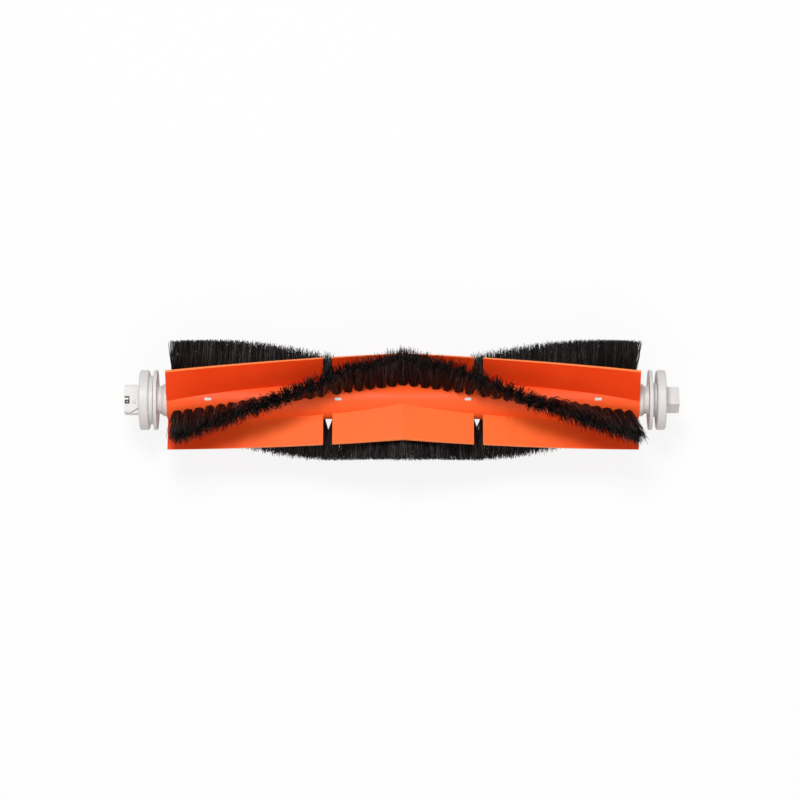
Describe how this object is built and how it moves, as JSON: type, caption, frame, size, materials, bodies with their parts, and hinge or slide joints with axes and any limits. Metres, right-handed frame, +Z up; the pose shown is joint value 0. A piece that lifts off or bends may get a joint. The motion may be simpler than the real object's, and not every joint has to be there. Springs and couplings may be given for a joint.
{
  "type": "robot vacuum roller brush",
  "caption": "Long roller brush with V-shaped rubber blades and V-shaped rows of bristle tufts, a square drive at one end and a pull-off bearing cap at the other.",
  "frame": {"origin": "on the roller's axis at the middle of the sleeve, within half a millimetre of the box's centre", "axes": "+X along the roller's axis towards the square drive, +Z up as the roller lies at rest"},
  "size_m": [0.1994, 0.0438, 0.0435],
  "materials": {
    "white_plastic": "satin",
    "orange_rubber": "satin",
    "bristle": "satin",
    "steel": "ground",
    "bronze": "sintered"
  },
  "bodies": {
    "roller": {"core_shaft": "white_plastic", "blade_sleeve": "orange_rubber", "bristle_row_1_cap_end": "bristle", "bristle_row_1_middle": "bristle", "bristle_row_1_drive_end": "bristle", "bristle_row_2_cap_end": "bristle", "bristle_row_2_middle": "bristle", "bristle_row_2_drive_end": "bristle", "bristle_row_3_cap_end": "bristle", "bristle_row_3_middle": "bristle", "bristle_row_3_drive_end": "bristle", "axle_pin": "steel"},
    "washer": {"thrust_washer": "steel"},
    "end_cap": {"bearing_cap": "white_plastic", "bearing_bush": "bronze"}
  },
  "joints": [
    {"name": "cap_pull", "type": "slide", "parent": "roller", "child": "washer", "axis": [-1, 0, 0], "range_m": [0, 0.008]},
    {"name": "cap_spin", "type": "hinge", "parent": "washer", "child": "end_cap", "pos_m": [-0.0933, 0, 0], "axis": [-1, 0, 0], "continuous": true}
  ]
}
